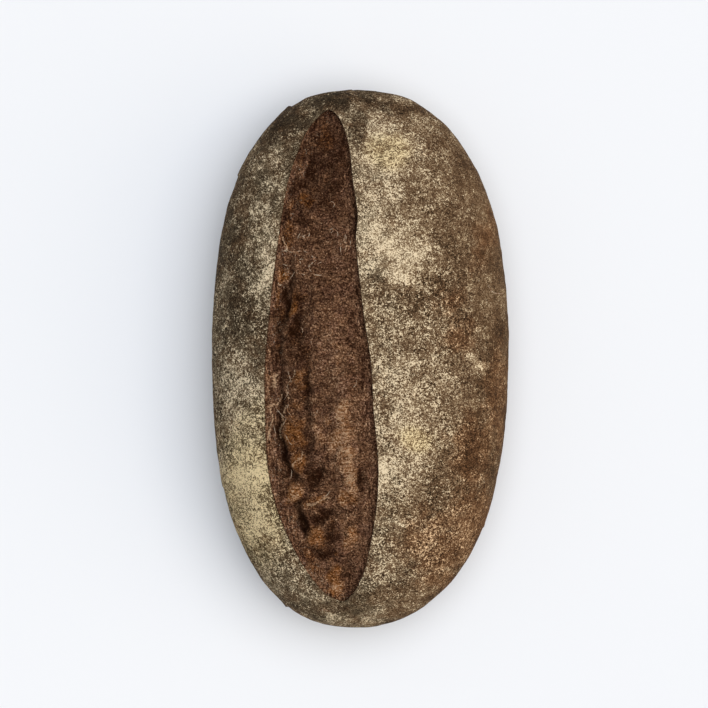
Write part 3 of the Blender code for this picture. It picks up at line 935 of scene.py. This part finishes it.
def crust_look(recipe, colours):
    """Colour, roughness and relief of the floured crust."""
    clouds = (recipe.grain(13.0, 3.0, 0.6) - 0.5) * 0.7 + (recipe.grain(4.2, 2.0, 0.6) - 0.5) * 0.58
    flour = recipe.mark("flour")
    patchy = recipe.step(recipe.grain(6.5, 2.0, 0.6), 0.34, 0.66, 0.66, 1.34) * recipe.mark("grit")
    patchy = patchy * recipe.step(flour, 0.35, 0.85, 1.0, 0.76)
    speckle = (recipe.grain(1.45, 3.0, 0.74, None, 0.5) - 0.5) * 2.2 * patchy
    specks = (recipe.grain(0.62, 1.0) - 0.5) * (0.8 + 1.0 * patchy)
    tone = 0.45 + flour * 0.56 + clouds + speckle + specks
    cool = recipe.ramp(
        tone, colours.crust_burnt, colours.crust_dark, colours.crust_brown, colours.flour_dim,
        colours.flour_thin, colours.flour,
    )
    warm = recipe.ramp(
        tone, colours.crust_burnt, colours.rust_dark, colours.rust_brown, colours.rust_tan,
        colours.flour_warm, colours.flour,
    )
    reddish = recipe.mark("brown") + (recipe.grain(9.0, 3.0, 0.6) - 0.5) * 2.0
    colour = recipe.blend(recipe.step(reddish, -0.3, 0.6), cool, warm)
    yellow = recipe.mark("yellow") + (recipe.grain(17.0) - 0.5)
    colour = recipe.blend(recipe.step(yellow, 0.0, 1.0), colour, colours.yellow_tint, "MULTIPLY")
    rusty = recipe.mark("rusty") + (recipe.grain(7.0, 3.0, 0.6) - 0.5) * 1.6
    colour = recipe.blend(recipe.step(rusty, 0.1, 0.9), colour, colours.rust_tint, "MULTIPLY")
    height = tone * 0.3 + recipe.grain(2.4, 2.0, 0.6) * 0.12
    return colour, recipe.step(tone, 0.2, 0.8, 0.7, 0.95), height


def torn_look(recipe, colours):
    """Colour, roughness and relief of the torn surface."""
    coarse = recipe.grain(5.5, 3.0, 0.6) - 0.5
    crumb = recipe.grain(2.4, 4.0, 0.72) - 0.5
    fine = recipe.grain(0.9, 2.0, 0.6) - 0.5
    finest = recipe.grain(0.55, 1.0) - 0.5
    across = recipe.grain(1.0, 3.0, 0.65, recipe.stretched((130.0, 1000.0, 500.0)), 0.8) - 0.5
    along = recipe.grain(1.0, 3.0, 0.65, recipe.stretched((1000.0, 160.0, 300.0))) - 0.5
    right_band = recipe.step(recipe.mark("from_right"), 5.0, 9.0, 1.0, 0.0)
    left_band = recipe.step(recipe.mark("from_left"), 6.0, 10.0, 1.0, 0.0)
    bands = recipe.math("MAXIMUM", right_band, left_band)
    # dark: painted shade in the hollows, the split and the crags' gaps, with darker dough in places
    dark = recipe.mark("dark")
    # pale: paler dough, with painted highlights on the tops of the ridge and crags
    pale = recipe.mark("pale")
    orange = recipe.step(recipe.mark("orange") + coarse * 1.4, 0.05, 0.95)
    # The lit side of the lobes, painted lighter; their crumb is also kept finer
    lobe = recipe.mark("lobe")
    streaks = across * (0.9 + 1.5 * pale) * (1.0 - bands) + along * bands * 2.0
    crumbs = crumb * (1.3 - bands * 0.4) * (1.0 - lobe * 0.4)
    texture = coarse * 0.8 + crumbs + fine * 2.8 + finest * 1.4 + streaks
    # Painted highlight and painted shade: the relief's raised places lighter, its sunken places darker
    relief = recipe.mark("raised") * 0.07 + recipe.mark("grain") * 0.12
    tone = 0.465 + relief + texture * 0.64 + pale * 0.4 + lobe * 0.03 - orange * 0.05 - dark * 0.4
    brown = recipe.ramp(
        tone, colours.torn_deep, colours.torn_dark, colours.torn_brown, colours.torn_tan,
        colours.torn_pale, colours.torn_straw,
    )
    ruddy = recipe.ramp(
        tone, colours.torn_deep, colours.torn_rust, colours.torn_ruddy, colours.torn_orange,
        colours.torn_amber, colours.torn_straw,
    )
    base = recipe.blend(orange, brown, ruddy)
    # Painted shade in the hollows and in the crevice under the right lip
    base = recipe.blend(recipe.step(recipe.mark("cavity"), 0.1, 1.0, 0.0, 0.6), base, colours.torn_deep)
    bend = recipe.grain(2.8, 2.0, 0.6, None, 1.4) - 0.5
    wisps = recipe.step(bend * bend, 0.0018, 0.0003) * recipe.step(recipe.grain(3.4), 0.5, 0.62)
    base = recipe.blend(wisps * (0.65 - 0.55 * dark), base, colours.torn_pale)
    flecks = recipe.step(recipe.grain(0.85, 2.0, 0.6), 0.62, 0.69) * left_band
    flecks = flecks * recipe.step(recipe.grain(5.0), 0.46, 0.56) * (1.0 - dark)
    base = recipe.blend(flecks * 0.8, base, colours.thread)
    slits = recipe.grain(1.0, 1.0, 0.5, recipe.stretched((1300.0, 330.0, 400.0)))
    slits = recipe.step(slits, 0.64, 0.7) * bands
    crack = recipe.grain(1.0, 2.0, 0.6, recipe.stretched((190.0, 420.0, 300.0)), 1.0) - 0.5
    cracks = recipe.step(crack * crack, 0.0009, 0.0001) * (1.0 - bands) * 0.45
    slits = recipe.math("MAXIMUM", slits, cracks)
    mauve = recipe.step(recipe.grain(7.5, 3.0, 0.6) - orange * 0.2, 0.47, 0.6, 0.0, 0.6)
    base = recipe.blend(mauve, base, colours.mauve_tint, "MULTIPLY")
    base = recipe.blend(slits * 0.8, base, colours.torn_deep)
    crest = recipe.step(recipe.mark("crest") + fine * 2.0, 0.55, 0.9)
    base = recipe.blend(crest * 0.85, base, colours.torn_straw)
    height = texture * 0.45 - slits * 0.5 + (crest + wisps) * 0.15
    return base, recipe.step(fine, -0.2, 0.2, 0.6, 0.85), height


def loaf_material(colours):
    """Floured crust outside the tear and torn dough inside it."""
    recipe = Recipe("rye_crust")
    crust_colour, crust_roughness, crust_relief = crust_look(recipe, colours)
    torn_colour, torn_roughness, torn_relief = torn_look(recipe, colours)
    torn = recipe.step(recipe.mark("torn"), 0.35, 0.65)
    height = crust_relief + (torn_relief - crust_relief) * torn
    bump = recipe.node("ShaderNodeBump", {}, {"Strength": 1.0, "Distance": MM, "Height": height})
    recipe.set(
        Base_Color=recipe.blend(torn, crust_colour, torn_colour),
        Roughness=crust_roughness + (torn_roughness - crust_roughness) * torn,
        Specular_IOR_Level=0.02,
        Normal=bump,
    )
    return recipe.material


def thread_material(colours):
    """Dry pale dough, darker where it is thin."""
    recipe = Recipe("dough_thread")
    tone = recipe.step(recipe.grain(1.2, 2.0, 0.6), 0.35, 0.65)
    recipe.set(
        Base_Color=recipe.blend(tone, colours.torn_orange, colours.thread),
        Roughness=0.6,
        Specular_IOR_Level=0.3,
    )
    return recipe.material


def floor_material(colour):
    """Plain matt paper."""
    recipe = Recipe("floor_paper")
    tone = recipe.grain(0.6, 2.0, 0.5)
    recipe.set(
        Base_Color=recipe.blend(tone * 0.02, colour, (1.0, 1.0, 1.0, 1.0)),
        Roughness=0.95,
        Specular_IOR_Level=0.0,
    )
    return recipe.material


def length_property(name, description, default):
    """A size in metres that the sidebar shows as a length."""
    return bpy.props.FloatProperty(
        name=name, description=description, default=default, min=0.0,
        subtype="DISTANCE", unit="LENGTH", precision=4,
    )


def number_property(name, description, default):
    """A plain number, 0 or more."""
    return bpy.props.FloatProperty(name=name, description=description, default=default, min=0.0)


def colour_property(name, description, default):
    """A colour with its alpha."""
    return bpy.props.FloatVectorProperty(
        name=name, description=description, default=(*default, 1.0), size=4,
        subtype="COLOR", min=0.0, max=1.0,
    )


class LoafShape(bpy.types.PropertyGroup):
    """Sizes of the loaf."""

    length: length_property("Length", "Length of the widest outline", 0.28)
    width: length_property("Width", "Width of the widest outline", 0.1546)
    height: length_property("Height", "Height of the plain dome", 0.08)
    belt_height: length_property("Belt Height", "Height of the widest outline", 0.026)
    base_tuck: length_property("Base Tuck", "How far the base lies inside the outline", 0.011)
    swelling: length_property("Swelling", "Slow unevenness of the crust", 0.0013)
    torn_roughness: number_property("Torn Roughness", "Strength of the tear's fine relief", 1.0)
    thread_thickness: length_property("Thread Thickness", "Thickness of dough threads", 0.0004)


class LoafColours(bpy.types.PropertyGroup):
    """Colours of the crust, the flour and the torn dough."""

    crust_burnt: colour_property("Crust Burnt", "Scorched crust", (0.019, 0.0115, 0.0055))
    crust_dark: colour_property("Crust Dark", "Bare dark crust", (0.032, 0.02, 0.0105))
    crust_brown: colour_property("Crust Brown", "Barely floured crust", (0.062, 0.042, 0.0235))
    flour_dim: colour_property("Flour Dim", "Dim flour", (0.128, 0.092, 0.053))
    flour_thin: colour_property("Flour Thin", "Thin flour", (0.275, 0.21, 0.128))
    rust_dark: colour_property("Rust Dark", "Bare reddish crust", (0.045, 0.025, 0.012))
    rust_brown: colour_property("Rust Brown", "Barely floured reddish crust", (0.092, 0.05, 0.024))
    rust_tan: colour_property("Rust Tan", "Rubbed reddish crust", (0.175, 0.108, 0.058))
    flour_warm: colour_property("Flour Warm", "Thin flour on reddish crust", (0.33, 0.24, 0.14))
    flour: colour_property("Flour", "Thick flour", (0.76, 0.61, 0.4))
    yellow_tint: colour_property("Yellow Tint", "Tint of the yellower flour", (1.0, 0.975, 0.84))
    rust_tint: colour_property("Rust Tint", "Tint of the rustier crust", (1.0, 0.84, 0.74))
    # Torn Deep is also laid over the hollows and the lip's crevice as painted shade
    torn_deep: colour_property("Torn Deep", "Torn dough in hollows", (0.021, 0.0066, 0.002))
    torn_dark: colour_property("Torn Dark", "Dark torn dough", (0.041, 0.0168, 0.0078))
    torn_brown: colour_property("Torn Brown", "Brown torn dough", (0.085, 0.0388, 0.0192))
    torn_tan: colour_property("Torn Tan", "Light torn dough", (0.157, 0.074, 0.037))
    torn_pale: colour_property("Torn Pale", "Palest torn dough", (0.31, 0.163, 0.087))
    torn_rust: colour_property("Torn Rust", "Dark side of the crags", (0.056, 0.0175, 0.004))
    torn_ruddy: colour_property("Torn Ruddy", "Crags of torn dough", (0.118, 0.041, 0.0105))
    torn_orange: colour_property("Torn Orange", "Light crags of torn dough", (0.225, 0.087, 0.026))
    torn_amber: colour_property("Torn Amber", "Palest crags of torn dough", (0.36, 0.158, 0.061))
    torn_straw: colour_property("Torn Straw", "Dried tips of torn dough", (0.56, 0.35, 0.2))
    mauve_tint: colour_property("Mauve Tint", "Tint of the cooler torn dough", (0.93, 0.9, 1.0))
    thread: colour_property("Thread", "Loose threads of dough", (0.5, 0.39, 0.27))


class LoafStage(bpy.types.PropertyGroup):
    """Floor, light and camera."""

    floor: colour_property("Floor", "Plain pale floor", (0.8, 0.8, 0.8))
    overhead_strength: number_property("Overhead Strength", "Broad light from above", 2.66)
    side_strength: number_property("Side Strength", "Low warm light from the right", 1.0)
    room_strength: number_property("Room Strength", "Light from all round", 0.32)
    camera_height: length_property("Camera Height", "Camera over the loaf's belt", 1.0275)
    camera_lens: bpy.props.FloatProperty(
        name="Camera Lens", description="Focal length", default=100.0, min=1.0,
        subtype="DISTANCE_CAMERA",
    )


class OBJECT_OT_rye_loaf(bpy.types.Operator):
    """Shape the loaf's crust and torn cut, and give them their looks"""

    bl_idname = "object.rye_loaf"
    bl_label = "Rye Loaf"
    bl_options = {"REGISTER", "UNDO"}

    def execute(self, context):
        form = LoafForm(context.scene.loaf_shape)
        rows = 2 + CRUST_STEPS + FLANK_STEPS
        crust = laid_grid("dressed_loaf", 2 * EDGE_STEPS, rows, *form.band())
        torn = laid_grid("torn_dough", TORN_STEPS, EDGE_STEPS, *form.tear())
        select_only(crust, torn)
        bpy.ops.object.join()
        bpy.ops.object.mode_set(mode="EDIT")
        bpy.ops.mesh.select_all(action="SELECT")
        bpy.ops.mesh.remove_doubles(threshold=0.000001)
        bpy.ops.mesh.select_all(action="DESELECT")
        bpy.ops.mesh.select_mode(type="EDGE")
        bpy.ops.mesh.select_non_manifold()
        bpy.ops.mesh.edge_face_add()
        bpy.ops.mesh.select_all(action="SELECT")
        bpy.ops.mesh.normals_make_consistent(inside=False)
        bpy.ops.object.mode_set(mode="OBJECT")
        bpy.ops.object.shade_smooth_by_angle(angle=math.radians(50))
        crust.data.materials.clear()
        crust.data.materials.append(loaf_material(context.scene.loaf_colours))
        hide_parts("rye_loaf")
        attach(crust, "root")
        return {"FINISHED"}


class OBJECT_OT_dough_threads(bpy.types.Operator):
    """Lay loose threads of dough in the tear, and one stalk on the crust"""

    bl_idname = "object.dough_threads"
    bl_label = "Dough Threads"
    bl_options = {"REGISTER", "UNDO"}

    def execute(self, context):
        shape = context.scene.loaf_shape
        loaf = bpy.data.objects["dressed_loaf"]
        draw = random.Random(4)
        curve = bpy.data.curves.new("dough_threads", "CURVE")
        curve.dimensions = "3D"
        curve.bevel_depth = shape.thread_thickness / 2
        curve.bevel_resolution = 1
        curve.use_fill_caps = True
        count, low, high = STREWN
        strewn = [
            (draw.uniform(low[0], high[0]), draw.uniform(low[1], high[1]), draw.uniform(0, 360),
             draw.uniform(2.0, 5.0), draw.uniform(-120, 120))
            for _ in range(count)
        ]
        for x, y, degrees, length, curl in (*THREADS, *STALKS, *strewn):
            spline = curve.splines.new("POLY")
            spline.points.add(THREAD_STEPS)
            plan = Vector((x, y))
            heading = math.radians(degrees)
            for step, knot in enumerate(spline.points):
                above = Vector((plan.x * MM, plan.y * MM, 2 * CAD_BOX[1].z))
                hit, place, _, _ = loaf.ray_cast(above, Vector((0.0, 0.0, -1.0)))
                if not hit:
                    raise RuntimeError(f"the thread at {x}, {y} leaves the loaf")
                rest = shape.thread_thickness * 0.3
                knot.co = (*place.to_2d(), min(place.z + rest, CAD_BOX[1].z - rest), 1.0)
                knot.radius = mix(1.0, 0.35, abs(2 * step / THREAD_STEPS - 1.0))
                plan += Vector((math.cos(heading), math.sin(heading))) * length / THREAD_STEPS
                heading += math.radians(curl + draw.uniform(-160, 160)) / THREAD_STEPS
        threads = bpy.data.objects.new("dough_threads", curve)
        context.scene.collection.objects.link(threads)
        select_only(threads)
        bpy.ops.object.convert(target="MESH")
        threads = context.object
        threads.name = threads.data.name = "dough_threads"
        bpy.ops.object.shade_smooth()
        threads.data.materials.clear()
        threads.data.materials.append(thread_material(context.scene.loaf_colours))
        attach(threads, "root")
        return {"FINISHED"}


class OBJECT_OT_loaf_stage(bpy.types.Operator):
    """Lay a plain pale floor, and set the soft light and the camera"""

    bl_idname = "object.loaf_stage"
    bl_label = "Loaf Stage"
    bl_options = {"REGISTER", "UNDO"}

    def execute(self, context):
        stage = context.scene.loaf_stage
        bpy.ops.object.select_all(action="DESELECT")
        bpy.ops.mesh.primitive_plane_add(size=FLOOR_SIZE, location=(0.0, 0.0, -FLOOR_DROP))
        floor = context.object
        floor.name = "floor"
        floor.data.materials.append(floor_material(stage.floor))

        strengths = (stage.overhead_strength, stage.side_strength)
        for (name, bearing, elevation, spread, colour), strength in zip(LIGHTS, strengths):
            level = math.cos(math.radians(elevation))
            towards = Vector((
                level * math.cos(math.radians(bearing)),
                level * math.sin(math.radians(bearing)),
                math.sin(math.radians(elevation)),
            ))
            bpy.ops.object.light_add(type="SUN", location=towards * 2.0)
            light = context.object
            light.name = name
            light.rotation_euler = towards.to_track_quat("Z", "Y").to_euler()
            light.data.energy = strength
            light.data.angle = math.radians(spread)
            light.data.color = colour

        world = bpy.data.worlds.new("soft_room")
        world.use_nodes = True
        background = world.node_tree.nodes["Background"]
        background.inputs["Color"].default_value = ROOM_COLOUR
        background.inputs["Strength"].default_value = stage.room_strength
        context.scene.world = world

        height = context.scene.loaf_shape.belt_height + stage.camera_height
        bpy.ops.object.camera_add(location=(*CAMERA_PLACE, height), rotation=(0.0, 0.0, 0.0))
        camera = context.object
        camera.name = "photo_camera"
        camera.data.lens = stage.camera_lens
        camera.data.sensor_width = SENSOR_WIDTH
        context.scene.camera = camera
        context.scene.view_settings.view_transform = "Standard"
        return {"FINISHED"}


class VIEW3D_PT_rye_loaf(bpy.types.Panel):
    """Sizes, colours and steps of the rye loaf"""

    bl_label = "Rye Loaf"
    bl_idname = "VIEW3D_PT_rye_loaf"
    bl_space_type = "VIEW_3D"
    bl_region_type = "UI"
    bl_category = "Rye Loaf"

    def draw(self, context):
        scene = context.scene
        for group in (getattr(scene, name) for name in GROUPS):
            box = self.layout.box()
            for name in group.__annotations__:
                box.prop(group, name)
        for step in STEPS:
            self.layout.operator(step.bl_idname)


STEPS = (OBJECT_OT_rye_loaf, OBJECT_OT_dough_threads, OBJECT_OT_loaf_stage)
GROUPS = {"loaf_shape": LoafShape, "loaf_colours": LoafColours, "loaf_stage": LoafStage}
CLASSES = (*GROUPS.values(), *STEPS, VIEW3D_PT_rye_loaf)


def register():
    for kind in CLASSES:
        bpy.utils.register_class(kind)
    for name, group in GROUPS.items():
        setattr(bpy.types.Scene, name, bpy.props.PointerProperty(type=group))


def unregister():
    for name in GROUPS:
        delattr(bpy.types.Scene, name)
    for kind in reversed(CLASSES):
        bpy.utils.unregister_class(kind)


def main():
    """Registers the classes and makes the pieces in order."""
    register()
    bpy.ops.object.rye_loaf()
    bpy.ops.object.dough_threads()
    bpy.ops.object.loaf_stage()


if __name__ == "__main__":
    main()
